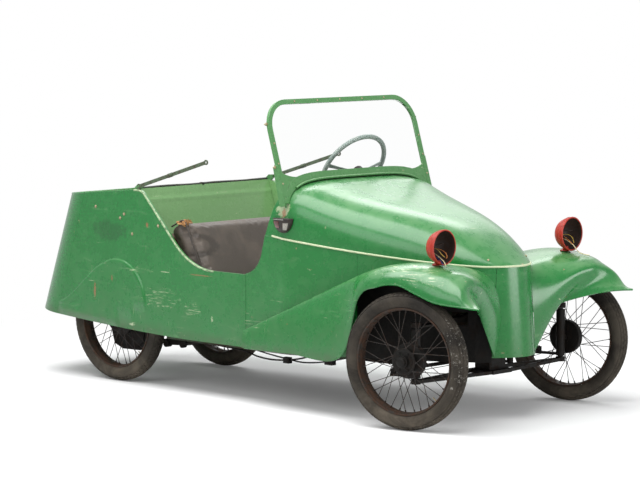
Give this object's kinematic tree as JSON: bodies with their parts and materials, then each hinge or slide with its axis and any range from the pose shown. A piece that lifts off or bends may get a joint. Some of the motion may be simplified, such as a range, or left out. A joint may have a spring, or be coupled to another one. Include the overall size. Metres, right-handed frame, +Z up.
{
  "type": "open two-seat microcar",
  "caption": "Open two-seat microcar with a round bonnet, cutaway sides, upright windscreen, swept front fenders, wire wheels and empty headlamp shells; it steers and rolls.",
  "frame": {"origin": "ground point under the middle of the outline box", "axes": "+X forward, +Y to the left, +Z up"},
  "size_m": [3.2407, 1.4398, 1.4903],
  "materials": {
    "green_paint": "worn mid-green enamel, chalky on top faces, scratched",
    "floor_paint": "dull dark green, dusty",
    "black_paint": "matt black underseal",
    "dark_steel": "greasy dark steel",
    "clear_glass": "clear sheet glass",
    "seat_wood": "bare board",
    "brown_cover": "worn dark brown leathercloth",
    "red_paint": "faded red primer",
    "wire_cover": "cream wire cover",
    "lamp_metal": "dull plated metal",
    "rusty_rim": "rusted dark steel",
    "tyre_rubber": "dusty aged tyre",
    "helm_grey": "grey-green moulded rim",
    "iron_steel": "worn grey-green steel"
  },
  "bodies": {
    "car_body": {"chassis_frame": "dark_steel", "floor_pan": "floor_paint", "nose_panel": "green_paint", "wheel_wells": "black_paint", "scuttle_panel_left": "green_paint", "scuttle_panel_right": "green_paint", "quarter_panel_left": "green_paint", "quarter_panel_right": "green_paint", "tail_panel": "green_paint", "rear_deck": "green_paint", "rear_bulkhead": "green_paint", "bonnet": "green_paint", "fender_left": "green_paint", "fender_right": "green_paint", "windscreen_frame": "green_paint", "windscreen_glass": "clear_glass", "dashboard": "green_paint", "firewall": "black_paint", "seat_frame": "seat_wood", "seat_cushion": "brown_cover", "seat_back": "brown_cover", "headlamps": "red_paint", "headlamp_wire_left": "wire_cover", "headlamp_wire_right": "wire_cover", "side_lamps": "lamp_metal", "engine_block": "dark_steel", "front_axle": "dark_steel", "front_spring": "dark_steel", "rear_axle": "dark_steel", "steering_box": "dark_steel", "hood_brackets": "green_paint"},
    "knuckle_l": {"knuckle_left": "dark_steel"},
    "knuckle_r": {"knuckle_right": "dark_steel"},
    "steer_rod": {"tie_rod": "dark_steel"},
    "drop_arm": {"pitman_arm": "dark_steel"},
    "helm": {"steering_wheel": "helm_grey"},
    "wheel_fl": {"wheel_front_left": "rusty_rim", "tyre_front_left": "tyre_rubber"},
    "wheel_fr": {"wheel_front_right": "rusty_rim", "tyre_front_right": "tyre_rubber"},
    "wheel_rl": {"wheel_rear_left": "rusty_rim", "tyre_rear_left": "tyre_rubber"},
    "wheel_rr": {"wheel_rear_right": "rusty_rim", "tyre_rear_right": "tyre_rubber"},
    "iron_l": {"hood_iron_left": "iron_steel"},
    "iron_r": {"hood_iron_right": "iron_steel"}
  },
  "joints": [
    {"name": "steer_left", "type": "hinge", "parent": "car_body", "child": "knuckle_l", "pos_m": [1.2, 0.545, 0.32], "axis": [0, 0, 1], "range_deg": [-42.4, 21.6]},
    {"name": "steer_right", "type": "hinge", "parent": "car_body", "child": "knuckle_r", "pos_m": [1.2, -0.545, 0.32], "axis": [0, 0, 1], "range_deg": [-42.4, 21.6]},
    {"name": "drop_arm_turn", "type": "hinge", "parent": "car_body", "child": "drop_arm", "pos_m": [1.2, 0.15, 0.25], "axis": [0, 0, 1], "range_deg": [-42.4, 21.6]},
    {"name": "steer_rod_pin", "type": "hinge", "parent": "knuckle_l", "child": "steer_rod", "pos_m": [1.08197, 0.52334, 0.258], "axis": [0, 0, 1], "range_deg": [-21.6, 42.4]},
    {"name": "helm_turn", "type": "hinge", "parent": "car_body", "child": "helm", "pos_m": [0.095, 0.25, 1.124], "axis": [-0.8314, 0.0853, 0.5491], "range_deg": [-339.2, 172.8]},
    {"name": "spin_front_left", "type": "hinge", "parent": "knuckle_l", "child": "wheel_fl", "pos_m": [1.18466, 0.6286, 0.32], "axis": [-0.1805, 0.9836, 0], "continuous": true},
    {"name": "spin_front_right", "type": "hinge", "parent": "knuckle_r", "child": "wheel_fr", "pos_m": [1.21534, -0.6286, 0.32], "axis": [-0.1805, 0.9836, 0], "continuous": true},
    {"name": "spin_rear_left", "type": "hinge", "parent": "car_body", "child": "wheel_rl", "pos_m": [-0.96, 0.382, 0.32], "axis": [0, 1, 0], "continuous": true},
    {"name": "spin_rear_right", "type": "hinge", "parent": "car_body", "child": "wheel_rr", "pos_m": [-0.96, -0.382, 0.32], "axis": [0, 1, 0], "continuous": true},
    {"name": "iron_left_fold", "type": "hinge", "parent": "car_body", "child": "iron_l", "pos_m": [-0.7, 0.48901, 1.026], "axis": [0, 1, 0], "range_deg": [-140, 8]},
    {"name": "iron_right_fold", "type": "hinge", "parent": "car_body", "child": "iron_r", "pos_m": [-0.7, -0.48901, 1.026], "axis": [0, 1, 0], "range_deg": [-140, 8]}
  ],
  "couplings": [
    {"joint": "steer_right", "follows": "steer_left", "ratio": 1},
    {"joint": "drop_arm_turn", "follows": "steer_left", "ratio": 1},
    {"joint": "steer_rod_pin", "follows": "steer_left", "ratio": -1},
    {"joint": "helm_turn", "follows": "steer_left", "ratio": 8}
  ]
}
